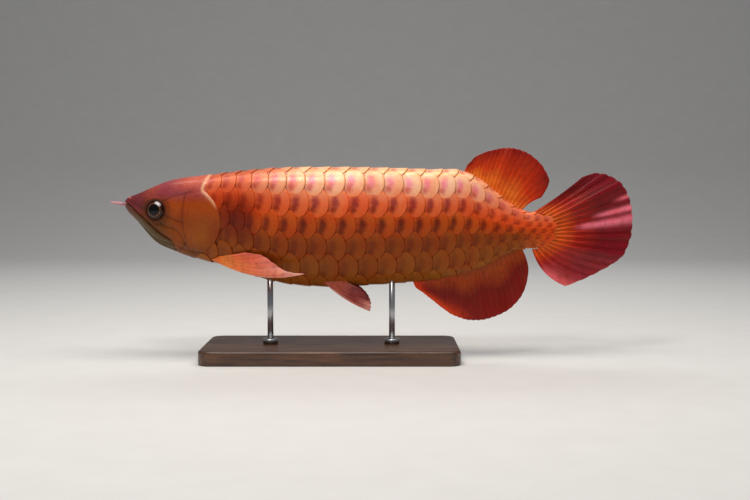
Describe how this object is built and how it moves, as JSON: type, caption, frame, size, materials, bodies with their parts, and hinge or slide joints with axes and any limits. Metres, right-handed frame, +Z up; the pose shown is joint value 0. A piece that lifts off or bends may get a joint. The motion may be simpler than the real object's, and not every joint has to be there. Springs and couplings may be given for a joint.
{
  "type": "asian arowana display model",
  "caption": "Life-size still model of a red Asian arowana swimming level, with large scales, a pair of chin barbels and rounded fins, held on a small wooden stand by steel rods.",
  "frame": {"origin": "under the middle of the model's whole length and width, on the underside of the stand's base", "axes": "+X from head to tail, +Y towards the fish's right side, +Z up"},
  "size_m": [0.5137, 0.104, 0.2068],
  "materials": {
    "skin": "wet, glossy orange-red scaled skin, painted resin as in a museum cast",
    "head": "wet, glossy bare skin over bone, golden brown to rose",
    "fin": "glossy crimson fin web with rays",
    "barbel": "soft pink skin",
    "eye": "dark polished eye with a red-gold ring",
    "wood": "dark oiled walnut",
    "steel": "brushed stainless steel"
  },
  "bodies": {
    "root": {"trunk": "skin", "tail": "skin", "head": "head", "lower_jaw": "head", "gill_cover_left": "head", "gill_cover_right": "head", "upper_jaw_plate_left": "head", "upper_jaw_plate_right": "head", "nostril_left": "head", "nostril_right": "head", "eye_left": "eye", "eye_right": "eye", "barbel_left": "barbel", "barbel_right": "barbel", "dorsal_fin": "fin", "anal_fin": "fin", "tail_fin": "fin", "pectoral_fin_left": "fin", "pectoral_fin_right": "fin", "pelvic_fin_left": "fin", "pelvic_fin_right": "fin", "stand_base": "wood", "stand_rod_front": "steel", "stand_rod_rear": "steel", "stand_collar_front": "steel", "stand_collar_rear": "steel"}
  },
  "joints": []
}
